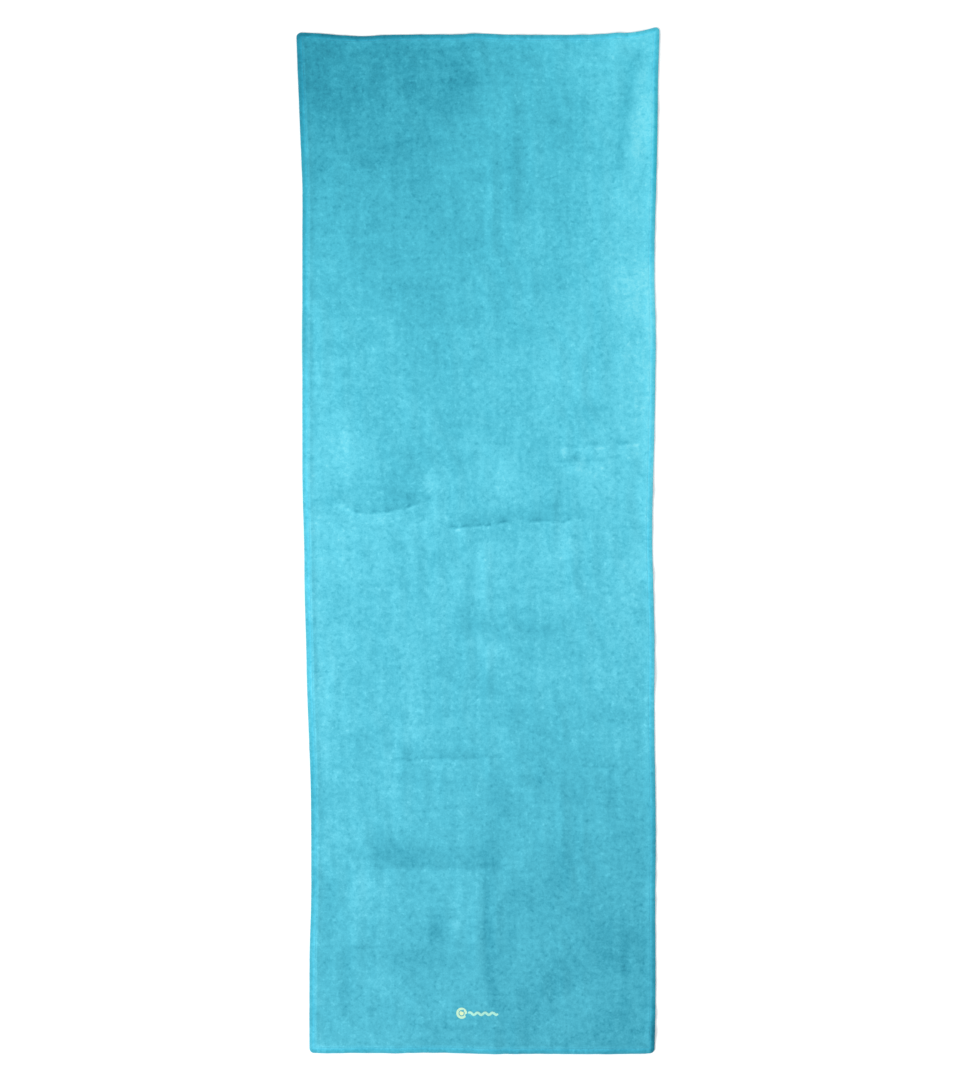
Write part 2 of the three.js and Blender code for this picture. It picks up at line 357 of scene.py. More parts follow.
def spline_weights(part):
    """How much each of the four nearest grid lines counts, on a smooth spline."""
    return (
        (1 - part) ** 3 / 6,
        (3 * part**3 - 6 * part**2 + 4) / 6,
        (-3 * part**3 + 3 * part**2 + 3 * part + 1) / 6,
        part**3 / 6,
    )


def settled_lie(x, y):
    """The height of the towel's underside at any place."""
    column = np.clip((x + HALF_WIDTH) / TOWEL_WIDTH, 0, 1) * (SIM_COLUMNS - 1)
    row = np.clip((y + HALF_LENGTH) / TOWEL_LENGTH, 0, 1) * (SIM_ROWS - 1)
    left, below = np.floor(column).astype(int), np.floor(row).astype(int)
    height = np.zeros_like(column)
    for i, weight_x in enumerate(spline_weights(column - left)):
        for j, weight_y in enumerate(spline_weights(row - below)):
            near_x = np.clip(left + i - 1, 0, SIM_COLUMNS - 1)
            near_y = np.clip(below + j - 1, 0, SIM_ROWS - 1)
            height += weight_x * weight_y * LIE[near_y, near_x]
    return height


# The sharp creases: the line, its height, and how far it spreads to its foot side and to its head side.
CREASES = [
    (LEFT_CREASE, 0.36, 2.6, 10),
    (MIDDLE_CREASE, 0.42, 2.6, 8),
    (MIDDLE_CREASE_END, 0.35, 3, 8),
    (RIGHT_CREASE, 0.14, 3, 6),
    (RIGHT_CREASE_UPPER, 0.17, 3, 6),
    (UPPER_SOFT_CREASE, 0.25, 3, 6),
]
CREASE_WANDER = 1.2  # how far a crease strays from its line
CREASE_FADE = 14  # the length over which it dies away at each end
CREASE_SHARE = 0.7  # how much of its height it has on average, as it goes along
CREASE_SWING = 0.5  # how much more or less than that
CREASE_MOST = 1.4


def strayed(x, y):
    """y, as counted from lines that stray as the creases do."""
    return y + CREASE_WANDER * ripple(x, seed=21, longest=60, shortest=9)


def creases(x, y):
    """The small sharp creases, too fine for the settled grid."""
    from_line = strayed(x, y)
    height = np.zeros_like(from_line)
    for line, rise, reach, far_reach in CREASES:
        height += fold(x, from_line, line, rise, reach, far_reach, CREASE_FADE)
    uneven = CREASE_SHARE + CREASE_SWING * ripple(x, seed=22, longest=45, shortest=11)
    return height * np.clip(uneven, 0, CREASE_MOST)


PUCKER_HEIGHT = 0.22  # half the height of the waves that the seams draw along the edges
PUCKER_INSET = 26  # how far in they begin
PUCKER_GROWTH = 18  # how much nearer to the edge they have their full height
SIDE_STRIP = 30  # places this near to a long edge count their waves along it, and all others across


def lie(x, y):
    """The height of the cloth's underside above the floor, with everything counted but the edge section."""
    along_edge = np.where(np.abs(x) > HALF_WIDTH - SIDE_STRIP, y, x)
    pucker = PUCKER_HEIGHT * (1 + ripple(along_edge, seed=31, longest=70, shortest=22))
    near_edge = smooth_step((PUCKER_INSET - inset_at(x, y)) / PUCKER_GROWTH)
    return settled_lie(x, y) + creases(x, y) + pucker * near_edge


# ---- How light the nap lies, with painted shade and highlight ----

# The nap's broad tone, from head to foot down the list and from left to right in each row. 0 is the towel's
# middle tone, -1 is where it is darkest, and 1 would be near white.
BROAD_TONE = [
    [-1.2, -0.85, -0.1, 0.5],
    [-0.35, -0.35, 0.0, 0.55],
    [0.35, 0.05, 0.2, 0.7],
    [0.4, 0.25, 0.25, 0.35],
    [0.15, 0.1, -0.05, 0.05],
    [0.0, -0.15, -0.4, -0.5],
    [-0.1, -0.35, -0.6, -0.75],
]

# The shaded side of the long fold that runs down from the head's right corner, as (y, x) points. Shade is
# painted into the nap's colour along it.
HEAD_VALLEY = [(610, 236), (660, 244), (720, 248), (760, 257), (800, 269), (850, 276)]

# Patches where the colour is lighter or darker: where, how far they spread, and by how much. Those round
# the creases and folds and along the lifted edges are largely painted shade and highlight; the rest are the
# nap's own tone.
PATCHES = [
    # Round the left crease, mostly painted shade and highlight.
    (-140, 95, 46, 40, -0.38),
    (-113, 80, 17, 16, -0.34),
    (-85, 103, 14, 18, 0.62),
    (-88, 77, 6, 5, -0.55),
    (-78, 72, 7, 4, -0.35),
    (-244, 62, 12, 7, 0.34),
    (-152, 40, 26, 12, 0.24),
    (-240, 130, 24, 40, 0.22),
    (-258, 72, 8, 12, -0.25),
    # Round the middle crease, mostly painted shade and highlight.
    (-5, 84, 8, 26, -0.22),
    (45, 118, 24, 40, 0.22),
    (122, 62, 34, 20, -0.28),
    (100, 41, 12, 7, -0.25),
    (70, 50, 60, 8, -0.2),
    (190, 92, 16, 38, 0.26),
    (-28, 140, 20, 9, -0.25),
    (58, -33, 30, 3, -0.22),
    (-30, -80, 34, 20, 0.14),
    # Round the right crease, mostly painted shade and highlight.
    (143, 142, 7, 5, -0.5),
    (155, 141, 6, 4, -0.35),
    (168, 146, 6, 5, -0.5),
    (190, 143, 6, 9, -0.58),
    (218, 142, 9, 7, -0.34),
    (243, 147, 8, 3.5, -0.45),
    (240, 122, 8, 6, -0.35),
    (199, 171, 8, 4, -0.34),
    (251, 170, 9, 4, -0.34),
    (148, 159, 6, 8, 0.6),
    (266, 162, 13, 7, 0.4),
    (172, 127, 24, 10, 0.34),
    (180, 215, 40, 26, -0.24),
    # The soft fold below the middle: painted shade above it and a painted highlight below it.
    (-8, -138, 30, 15, -0.36),
    (95, -142, 58, 18, -0.28),
    (20, -182, 34, 14, 0.14),
    # Down the left edge, with painted highlight where the lifted edge faces the light.
    (-278, -120, 14, 150, 0.2),
    (-276, -330, 14, 70, 0.2),
    (-225, -375, 6, 40, -0.25),
    (-220, -610, 12, 70, 0.3),
    (-274, -680, 12, 80, -0.25),
    (-243, -740, 9, 60, -0.28),
    # The foot half.
    (24, -420, 14, 42, -0.32),
    (100, -395, 12, 34, -0.3),
    (70, -400, 40, 10, -0.18),
    (-165, -525, 30, 18, -0.14),
    (-80, -528, 50, 14, -0.1),
    (8, -530, 10, 44, -0.14),
    (-160, -500, 30, 22, -0.2),
    (-60, -566, 60, 14, 0.2),
    (-90, -655, 15, 12, -0.42),
    (-78, -640, 12, 36, -0.25),
    (-125, -700, 30, 16, -0.22),
    (-42, -640, 14, 34, 0.24),
    (-20, -670, 15, 6, 0.46),
    (-48, -650, 9, 7, 0.32),
    (-205, -683, 40, 2.6, -0.4),
    (145, -545, 12, 34, -0.28),
    (168, -618, 20, 14, -0.32),
    (205, -655, 16, 14, -0.24),
    (252, -700, 9, 70, -0.28),
    (130, -740, 26, 20, -0.26),
    (-110, -750, 40, 30, -0.12),
    # Painted shade under the curled foot-right corner.
    (302, -835, 6, 30, -0.9),
    # The head half.
    # Painted highlight where the lifted right edge faces the light.
    (276, 738, 18, 90, 0.42),
    (220, 830, 18, 12, 0.3),
    (212, 775, 10, 14, 0.2),
    (150, 730, 14, 10, 0.22),
    (178, 745, 12, 10, -0.2),
    (60, 620, 12, 150, -0.2),
    (207, 400, 12, 180, -0.18),
    (-170, 810, 8, 34, -0.25),
    (-116, 772, 16, 20, -0.34),
    (-275, 780, 20, 34, -0.24),
    (-205, 848, 14, 8, 0.3),
    (-30, 775, 18, 22, -0.22),
    (8, 755, 12, 18, 0.28),
    (-60, 700, 50, 16, 0.16),
    (-188, 645, 18, 16, -0.26),
    (0, 660, 30, 20, 0.18),
    (90, 572, 6, 9, -0.3),
    # Broad ones anywhere, most of them to even out where a render's colour differed from the photo's.
    (110, 560, 40, 90, 0.1),
    (-80, 300, 40, 60, -0.1),
    (-120, -320, 40, 60, 0.12),
    (165, -490, 34, 40, -0.15),
    (58, -498, 30, 40, 0.18),
    (-168, -560, 40, 270, 0.13),
    (-165, 160, 40, 40, -0.14),
    (-262, 476, 30, 50, 0.16),
    (262, 476, 30, 50, 0.16),
    (150, 805, 40, 30, 0.14),
    (-262, -655, 30, 40, -0.09),
    (-170, -15, 30, 40, 0.16),
    (-262, -500, 24, 50, 0.12),
    (60, 810, 34, 30, -0.1),
    (50, 314, 50, 50, 0.1),
    (-60, -665, 30, 30, -0.1),
]

# The long fold up the middle of the foot half, as (y, x) points.
FOOT_VALLEY = [(-805, 10), (-740, 4), (-680, -1), (-620, -5), (-550, -6)]

# The lower edge of the painted shade that crosses the foot half on the head side of a crosswise fold, as
# (x, y) points.
FOOT_BAND = [(-215, -545), (-110, -547), (-40, -548), (45, -546)]
FOOT_BAND_WANDER = 2  # how far that edge strays

# How much shade is painted along each crease, how much highlight is painted just below it, and the seed for
# how that comes and goes.
CREASE_SHADE_AND_HIGHLIGHT = [
    (LEFT_CREASE, 0.46, 0.5, 51),
    (MIDDLE_CREASE, 0.6, 0.5, 53),
    (MIDDLE_CREASE_END, 0.42, 0.4, 55),
    (RIGHT_CREASE, 0.08, 0.14, 57),
    (RIGHT_CREASE_UPPER, 0.14, 0.36, 59),
    (UPPER_SOFT_CREASE, 0.36, 0.1, 61),
    (RIGHT_SOFT_CREASE, 0.3, 0.1, 63),
]

# A painted highlight on the raised hem: the cloth over it is made a little lighter, in a band about this
# far in from the edge.
HEM_HIGHLIGHT = 0.34
HEM_HIGHLIGHT_INSET = 9.5
HEM_HIGHLIGHT_REACH = 3.5

# How dark each edge is at even steps, the long edges from head to foot and the ends from left to right. The
# darkness is partly the edge's own darker colour and partly painted shade where the rolled edge turns from
# the light.
LEFT_RIM = [0.45, 0.5, 0.4, 0.3, 0.1, 0.1, 0.4, 0.25, 0.2]
RIGHT_RIM = [0.5, 1.0, 0.8, 0.25, 0.5, 0.1, 0.2, 0.3, 0.2, 0.55, 0.65, 0.7, 1.3]
HEAD_RIM = [0.75, 0.9, 0.8, 0.75, 0.6, 0.5, 0.5, 0.4, 0.5]
FOOT_RIM = [0.4, 0.45, 0.3, 0.35, 0.3, 0.35, 0.2, 0.4, 0.3]

# How that darkness dies away inwards: inset, share.
RIM_FADE = [(0, 1), (3, 1), (4.5, 0.85), (6.5, 0.5), (8, 0.22), (10, 0)]


def broad_tone(x, y):
    """BROAD_TONE, drawn out smoothly over the whole towel."""
    table = np.array(BROAD_TONE)
    rows, columns = table.shape
    across = np.clip(x / TOWEL_WIDTH + 0.5, 0, 1)
    along = np.clip(0.5 - y / TOWEL_LENGTH, 0, 1)
    down_each = np.stack([curve_through(table[:, column], along) for column in range(columns)], -1)
    place = across * (columns - 1)
    left = np.minimum(place.astype(int), columns - 2)
    weight = smooth_step(place - left)
    near, far = (np.take_along_axis(down_each, (left + step)[..., None], -1)[..., 0] for step in (0, 1))
    return near * (1 - weight) + far * weight


def shifted(line, by):
    """The same line, moved by that much across its run."""
    return [(along, across + by) for along, across in line]


def crease_shade_and_highlight(x, y, line, shade, highlight, seed):
    """The painted shade and highlight along a crease: a thin dark line with a soft dark band above it on
    its head side, where shade falls, and a thin light line on its foot side, where light falls. Both come
    and go along it."""
    from_line = strayed(x, y)
    dark = np.clip(0.75 + 0.45 * ripple(x, seed, longest=44, shortest=9), 0.1, 1.3)
    light = np.clip(0.6 + 0.6 * ripple(x, seed + 1, longest=36, shortest=8), 0, 1.4)
    thin = fold(x, from_line, shifted(line, 2), -shade, reach=1.5, far_reach=3, fade=CREASE_FADE)
    soft = fold(x, from_line, shifted(line, 3), -0.75 * shade, reach=2, far_reach=17, fade=CREASE_FADE)
    below = fold(x, from_line, shifted(line, -2.5), highlight, reach=2.2, far_reach=1.4, fade=CREASE_FADE)
    return (thin + soft) * dark + below * light


def nap_tone_and_painted_light(x, y):
    """How light the nap is at any place, with shade and highlight painted in along the creases, folds,
    raised hem and lifted edges.
    """
    tone = broad_tone(x, y)
    for place in PATCHES:
        tone = tone + lobe(x, y, *place)
    for line, shade, highlight, seed in CREASE_SHADE_AND_HIGHLIGHT:
        tone = tone + crease_shade_and_highlight(x, y, line, shade, highlight, seed)
    # Painted shade along the valley by the head's right corner.
    tone = tone + fold(y, x, HEAD_VALLEY, -0.44, reach=15, far_reach=8)
    # Painted shade on the head side of the crosswise fold across the foot half.
    from_band = y + FOOT_BAND_WANDER * ripple(x, seed=65, longest=90, shortest=14)
    tone = tone + fold(x, from_band, FOOT_BAND, -0.38, reach=4, far_reach=42)
    # The long fold at the foot gets a painted highlight on its left side, which faces the light, and
    # painted shade on its right one.
    tone = tone + fold(y, x, shifted(FOOT_VALLEY, 8), -0.32, reach=6, far_reach=15)
    tone = tone + fold(y, x, shifted(FOOT_VALLEY, -10), 0.14, reach=26, far_reach=8)
    # Painted highlight on the raised hem.
    hem = np.exp(-(((inset_at(x, y) - HEM_HIGHLIGHT_INSET) / HEM_HIGHLIGHT_REACH) ** 2))
    return tone + HEM_HIGHLIGHT * hem


def greyness(y):
    """From 0 at the head to 1 at the foot, where the blue is a little greyer."""
    return np.clip(0.5 - y / TOWEL_LENGTH, 0, 1)


def rim_shade(x, y):
    """How dark the very edge of the towel is, partly by its own darker colour and partly by painted shade,
    from 0, which is as light as the rest, to 1 and above.
    """
    across = x / TOWEL_WIDTH + 0.5
    along = 0.5 - y / TOWEL_LENGTH
    side = np.where(x < 0, curve_through(LEFT_RIM, along), curve_through(RIGHT_RIM, along))
    end = np.where(y > 0, curve_through(HEAD_RIM, across), curve_through(FOOT_RIM, across))
    fade = [line[0] for line in RIM_FADE], [line[1] for line in RIM_FADE]
    shade = side * np.interp(HALF_WIDTH - np.abs(x), *fade)
    return np.maximum(shade, end * np.interp(HALF_LENGTH - np.abs(y), *fade))


# ---- Mesh helpers ----


def mesh_object(name, points, faces, material):
    """A smooth-shaded mesh from points in millimetres."""
    mesh = bpy.data.meshes.new(name)
    mesh.from_pydata((np.asarray(points, float) * MM).tolist(), [], np.asarray(faces).tolist())
    mesh.polygons.foreach_set("use_smooth", [True] * len(mesh.polygons))
    mesh.materials.append(material)
    mesh.update()
    piece = bpy.data.objects.new(name, mesh)
    bpy.context.scene.collection.objects.link(piece)
    return piece


def add_attribute(piece, name, values):
    """A number for each vertex, which the materials read by name."""
    attribute = piece.data.attributes.new(name, "FLOAT", "POINT")
    attribute.data.foreach_set("value", np.asarray(values, np.float32).ravel())


def quads(first, second, third, fourth):
    return np.stack([first, second, third, fourth], -1).reshape(-1, 4)


def slab(name, x, y, under, over, material, looped=False):
    """A closed sheet over a grid of places, which runs left to right along each row, and bottom row first.
    A looped one joins its last column to its first."""
    rows, columns = x.shape
    count = rows * columns
    points = np.concatenate([np.stack([x, y, z], -1).reshape(-1, 3) for z in (over, under)])
    index = np.arange(count).reshape(rows, columns)
    if looped:
        index = np.concatenate([index, index[:, :1]], 1)
    low_left, low_right = index[:-1, :-1], index[:-1, 1:]
    high_left, high_right = index[1:, :-1], index[1:, 1:]
    face = quads(low_left, low_right, high_right, high_left)
    back = quads(low_left, high_left, high_right, low_right) + count
    rim = [index[0], index[-1, ::-1]]
    if not looped:
        rim += [index[:, -1], index[::-1, 0]]
    sides = [quads(run[:-1] + count, run[1:] + count, run[1:], run[:-1]) for run in rim]
    return mesh_object(name, points, np.concatenate([face, back, *sides]), material)


LEAST_GAP = 0.2  # between two grid lines


def grid_lines(half, insets, step, fine=()):
    """Lines from -half to half: at the insets near both edges, at even steps in between, and at finer ones
    where fine says, which is (from, to, step) runs."""
    inner = half - max(insets)
    steps = round(2 * inner / step)
    edge = [half - inset for inset in insets]
    between = np.linspace(-inner, inner, steps + 1)
    extra = [np.arange(*run) for run in fine]
    lines = np.concatenate([between, edge, [-line for line in edge], *extra])
    lines = np.unique(np.round(lines, 3))
    crowded = np.concatenate([[False], np.diff(lines) < LEAST_GAP])
    return lines[~crowded]


# ---- Materials ----

# The light on level ground is this many times what makes a white surface look just white.
LIGHT = 1.25


def painted(red, green, blue):
    """The surface colour that looks like this colour, given from 0 to 255, under the scene's light."""
    linear = []
    for value in (red, green, blue):
        share = value / 255
        bare = share / 12.92 if share <= 0.04045 else ((share + 0.055) / 1.055) ** 2.4
        linear.append(bare / LIGHT)
    return (*linear, 1)


class Nodes:
    """A material's node tree, with short ways to add what is used here."""

    def __init__(self, name):
        self.material = bpy.data.materials.new(name)
        self.material.use_nodes = True
        self.tree = self.material.node_tree
        self.shader = self.tree.nodes["Principled BSDF"]
        self.place = self.tree.nodes.new("ShaderNodeTexCoord").outputs["Object"]

    def put(self, socket, value):
        """Link a socket to another one, or set its value."""
        if isinstance(value, bpy.types.NodeSocket):
            self.tree.links.new(value, socket)
        else:
            socket.default_value = value

    def math(self, operation, first, second=0.0):
        node = self.tree.nodes.new("ShaderNodeMath")
        node.operation = operation
        self.put(node.inputs[0], first)
        self.put(node.inputs[1], second)
        return node.outputs[0]

    def total(self, first, *parts):
        """The sum of its parts. Every part but the first is a (value, weight) pair."""
        result = first
        for part, weight in parts:
            result = self.math("ADD", result, self.math("MULTIPLY", part, weight))
        return result

    def attribute(self, name):
        """A number that the mesh carries."""
        node = self.tree.nodes.new("ShaderNodeAttribute")
        node.attribute_name = name
        return node.outputs["Fac"]

    def noise(self, size, detail=2.0, rough=0.5, stretch=(1, 1, 1)):
        """Noise about 0, with spots of about that size in millimetres."""
        mapping = self.tree.nodes.new("ShaderNodeMapping")
        self.put(mapping.inputs["Vector"], self.place)
        mapping.inputs["Scale"].default_value = [1 / (size * MM * part) for part in stretch]
        node = self.tree.nodes.new("ShaderNodeTexNoise")
        self.put(node.inputs["Vector"], mapping.outputs[0])
        node.inputs["Scale"].default_value = 0.5
        node.inputs["Detail"].default_value = detail
        node.inputs["Roughness"].default_value = rough
        return self.math("SUBTRACT", node.outputs[0], 0.5)

    def step(self, value, start, end):
        """0 up to start, 1 from end on, and even in between."""
        node = self.tree.nodes.new("ShaderNodeMapRange")
        self.put(node.inputs["Value"], value)
        node.inputs["From Min"].default_value = start
        node.inputs["From Max"].default_value = end
        return node.outputs[0]

    def ramp(self, value, *stops):
        """Colours between stops, which are (value, colour) pairs. The values may be of any size."""
        low, high = stops[0][0], stops[-1][0]
        share = self.math("DIVIDE", self.math("SUBTRACT", value, low), high - low)
        node = self.tree.nodes.new("ShaderNodeValToRGB")
        self.put(node.inputs[0], share)
        elements = node.color_ramp.elements
        while len(elements) < len(stops):
            elements.new(0.5)
        for element, (at, colour) in zip(elements, stops):
            element.position = (at - low) / (high - low)
        for element, (at, colour) in zip(elements, stops):
            element.color = colour if hasattr(colour, "__len__") else (colour, colour, colour, 1)
        return node.outputs[0]

    def mix(self, share, first, second, blend="MIX"):
        """The first colour, blended with the second by share."""
        node = self.tree.nodes.new("ShaderNodeMix")
        node.data_type = "RGBA"
        node.blend_type = blend
        self.put(node.inputs[0], share)
        self.put(node.inputs[6], first)
        self.put(node.inputs[7], second)
        return node.outputs[2]

    def bump(self, height, depth):
        """Bumps whose height is given, times depth in millimetres."""
        node = self.tree.nodes.new("ShaderNodeBump")
        node.inputs["Strength"].default_value = 1
        node.inputs["Distance"].default_value = depth * MM
        self.put(node.inputs["Height"], height)
        self.put(self.shader.inputs["Normal"], node.outputs[0])

    def set(self, **values):
        """Give the shader its values, and return the material."""
        for name, value in values.items():
            self.put(self.shader.inputs[name.replace("_", " ")], value)
        return self.material


# The nap's colour by its tone.
NAP_COLOURS = [
    (-1.8, painted(33, 131, 156)),
    (-1.0, painted(52, 161, 185)),
    (0, painted(78, 194, 217)),
    (0.65, painted(100, 216, 238)),
    (1.3, painted(130, 234, 250)),
]

# What these parts of the towel do to its colour, which they are multiplied by.
FOOT_TINT = (1.3, 1, 1, 1)
HEM_TINT = (0.8, 1.02, 1.08, 1)
# The edge's tint: partly its own darker colour and partly painted shade.
RIM_DARK_AND_SHADE_TINT = (0.32, 0.68, 0.7, 1)

# How strong the hem's tint is: inset, share.
HEM_TINT_SHARE = [(0, 0.0), (3.5, 0.2), (6.5, 1.0), (9, 0.6), (14, 0.0), (30, 0.0)]
HEM_TINT_WANDER = 2.5


def microfibre_material():
    """Brushed nap: lighter and darker by its tone, which holds the nap's own tone and painted shade and
    highlight along creases, folds, the raised hem and lifted edges; mottled at every size from patches down
    to single tufts, with a soft sheen."""
    nodes = Nodes("microfibre")
    patches = nodes.noise(46, detail=1.5)
    clouds = nodes.noise(13)
    speckle = nodes.noise(4.2, rough=0.6)
    pile = nodes.noise(1.3, rough=0.6)
    tufts = nodes.noise(0.45, detail=1)
    lengthwise_streaks = nodes.noise(6, stretch=(1, 14, 1))
    crosswise_rows = nodes.noise(5, detail=1, stretch=(10, 1, 1))
    dark_flecks = nodes.step(nodes.noise(2.6, detail=1), 0.1, 0.24)
    light_flecks = nodes.step(nodes.noise(3.1, detail=1), 0.12, 0.26)
    tone = nodes.total(
        nodes.attribute("nap_tone_and_painted_light"),
        (patches, 0.85),
        (clouds, 0.48),
        (speckle, 1.28),
        (pile, 1),
        (lengthwise_streaks, 0.5),
        (crosswise_rows, 0.3),
        (dark_flecks, -0.46),
        (light_flecks, 0.34),
    )
    nap = nodes.ramp(tone, *NAP_COLOURS)
    # Over the hem the cloth is a little bluer, and round its edge darker, partly by its own darker colour
    # and partly by painted shade.
    inset = nodes.total(nodes.attribute("inset"), (clouds, HEM_TINT_WANDER))
    over_hem = nodes.ramp(inset, *HEM_TINT_SHARE)
    greyer = nodes.mix(nodes.attribute("greyness"), nap, FOOT_TINT, blend="MULTIPLY")
    bluer = nodes.mix(over_hem, greyer, HEM_TINT, blend="MULTIPLY")
    rim = nodes.math("MULTIPLY", nodes.attribute("rim"), nodes.math("ADD", clouds, 1.0))
    colour = nodes.mix(rim, bluer, RIM_DARK_AND_SHADE_TINT, blend="MULTIPLY")
    nodes.bump(nodes.total(pile, (speckle, 0.5), (tufts, 0.6)), depth=0.32)
    roughness = nodes.ramp(pile, (-0.5, 0.84), (0.5, 0.98))
    material = nodes.set(Base_Color=colour, Roughness=roughness, Specular_IOR_Level=0.12)
    nodes.set(Sheen_Weight=0.22, Sheen_Roughness=0.45, Sheen_Tint=(0.7, 0.94, 1.0, 1))
    return material


PLY_SCALE = 420  # of the twist that shows in the thread


def thread_material():
    """Spun thread in the towel's own colour, with its twist, bumped and with painted shade between its
    plies.
    """
    nodes = Nodes("hem_thread")
    wave = nodes.tree.nodes.new("ShaderNodeTexWave")
    wave.bands_direction = "DIAGONAL"
    nodes.put(wave.inputs["Vector"], nodes.place)
    wave.inputs["Scale"].default_value = PLY_SCALE
    wave.inputs["Distortion"].default_value = 0.6
    ply = wave.outputs["Fac"]
    # The twist darkens the colour in the grooves between the plies: painted shade.
    tone = nodes.total(
        nodes.attribute("nap_tone_and_painted_light"),
        (nodes.math("SUBTRACT", ply, 0.5), 0.7),
        (nodes.noise(9, detail=1), 1),
        (nodes.noise(0.5, detail=1), 1),
    )
    colour = nodes.ramp(tone, *NAP_COLOURS)
    nodes.bump(ply, depth=0.08)
    return nodes.set(Base_Color=colour, Roughness=0.55, Specular_IOR_Level=0.35, Sheen_Weight=0.1)


def film_material():
    """Thin pressed film, a little worn."""
    nodes = Nodes("mark_film")
    worn = nodes.noise(2.2, detail=3, rough=0.65)
    grain = nodes.noise(0.6)
    mint = nodes.ramp(
        worn,
        (-0.5, painted(136, 214, 204)),
        (-0.12, painted(169, 234, 217)),
        (0.5, painted(188, 245, 224)),
    )
    colour = nodes.mix(nodes.attribute("cream"), mint, painted(224, 246, 194))
    nodes.bump(nodes.total(worn, (grain, 1)), depth=0.05)
    roughness = nodes.ramp(grain, (-0.5, 0.42), (0.5, 0.6))
    return nodes.set(Base_Color=colour, Roughness=roughness, Specular_IOR_Level=0.4)


def floor_material():
    nodes = Nodes("pale_floor")
    nodes.bump(nodes.noise(3), depth=0.01)
    return nodes.set(Base_Color=(0.97, 0.97, 0.97, 1), Roughness=0.95, Specular_IOR_Level=0.05)


MICROFIBRE = microfibre_material()
THREAD = thread_material()
FILM = film_material()

# ---- Towel cloth ----


def declared(piece, slot, *nodes):
    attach(piece, "root")
    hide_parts(*nodes)
    return piece


def face_height(x, y):
    return lie(x, y) + section_height(EDGE_SECTION, 2, inset_at(x, y))


# The steps of the cloth's grid, and the runs of finer lines where creases and small patches need them.
COLUMN_STEP = 7.0
ROW_STEP = 7.6
FINE_COLUMNS = [(6, 26, 3), (138, 202, 3)]
FINE_ROWS = [(16, 84, 2.2), (136, 180, 2.2), (-388, -350, 3), (-556, -540, 3), (-690, -676, 2.3)]


def towel_cloth():
    insets = [line[0] for line in EDGE_SECTION]
    xs = grid_lines(HALF_WIDTH, insets, COLUMN_STEP, FINE_COLUMNS)
    ys = grid_lines(HALF_LENGTH, insets, ROW_STEP, FINE_ROWS)
    x, y = np.meshgrid(xs, ys)
    inset = inset_at(x, y)
    height = lie(x, y)
    under = height + section_height(EDGE_SECTION, 1, inset)
    over = height + section_height(EDGE_SECTION, 2, inset)
    piece = slab("towel_cloth", *fitted(x, y), under, over, MICROFIBRE)
    add_attribute(piece, "nap_tone_and_painted_light", np.tile(nap_tone_and_painted_light(x, y).ravel(), 2))
    add_attribute(piece, "inset", np.tile(inset.ravel(), 2))
    add_attribute(piece, "rim", np.tile(rim_shade(x, y).ravel(), 2))
    add_attribute(piece, "greyness", np.tile(greyness(y).ravel(), 2))
    return declared(piece, "microfibre", "towel_panel")


# ---- Hems ----

HEM_INSETS = np.array([line[0] for line in HEM_SECTION])
HEM_CLOSED = HEM_SECTION[0][1:]  # the underside and face where the hem closes
HEM_CLOSING = 0.5  # the length over which each of its ends closes
HEM_END_LINES = [0, HEM_CLOSING / 2, HEM_CLOSING]
HEM_FIRST_STEP = 6.5
HEM_STEP = 7
HEM_GAP = 0.35  # between a side hem's end and the end hem beside it
HEM_DARKER = 0.15  # than the cloth over it
HEM_COLOUR_INSET = 5  # the hem is coloured as cloth at least this far in from the edge


def hem_piece(name, node, x, y, inset, end_inset):
    """A hem over a grid of places. end_inset is how far each place is from the hem's own nearer end."""
    height = lie(x, y)
    closing = np.clip(1 - end_inset / HEM_CLOSING, 0, 1)
    low = section_height(HEM_SECTION, 1, inset)
    high = section_height(HEM_SECTION, 2, inset)
    under = height + low + (HEM_CLOSED[0] - low) * closing
    over = height + high + (HEM_CLOSED[1] - high) * closing
    piece = slab(name, *fitted(x, y), under, over, MICROFIBRE)
    add_attribute(piece, "nap_tone_and_painted_light", np.tile((nap_tone_and_painted_light(x, y) - HEM_DARKER).ravel(), 2))
    add_attribute(piece, "inset", np.tile(np.maximum(inset, HEM_COLOUR_INSET).ravel(), 2))
    add_attribute(piece, "greyness", np.tile(greyness(y).ravel(), 2))
    return declared(piece, "microfibre", node)


def end_hem(name, node, side):
    """The hem of the head or foot end. side is 1 or -1."""
    half = HALF_WIDTH - HEM_INSETS[0]
    xs = grid_lines(half, [*HEM_END_LINES, HEM_FIRST_STEP], HEM_STEP)
    ys = np.sort(side * (HALF_LENGTH - HEM_INSETS))
    x, y = np.meshgrid(xs, ys)
    return hem_piece(name, node, x, y, HALF_LENGTH - np.abs(y), half - np.abs(x))


def side_hem(name, node, side):
    """The hem of a long edge, between the two end hems. side is 1 or -1."""
    half = HALF_LENGTH - HEM_INSETS[-1] - HEM_GAP
    ys = grid_lines(half, HEM_END_LINES, HEM_STEP)
    xs = np.sort(side * (HALF_WIDTH - HEM_INSETS))
    x, y = np.meshgrid(xs, ys)
    return hem_piece(name, node, x, y, HALF_WIDTH - np.abs(x), half - np.abs(y))


# ---- Seams ----

THREAD_SIDES = 6
STEPS_PER_STITCH = 4
THREAD_DARKER = 0.25  # than the cloth beside it
THREAD_WANDER = 0.12  # how far a seam strays to either side

# How far short of the towel's ends the long seams stop, on the face and on the back.
FACE_SEAM_END = STITCH_INSET + 0.8
BACK_SEAM_END = 13.5


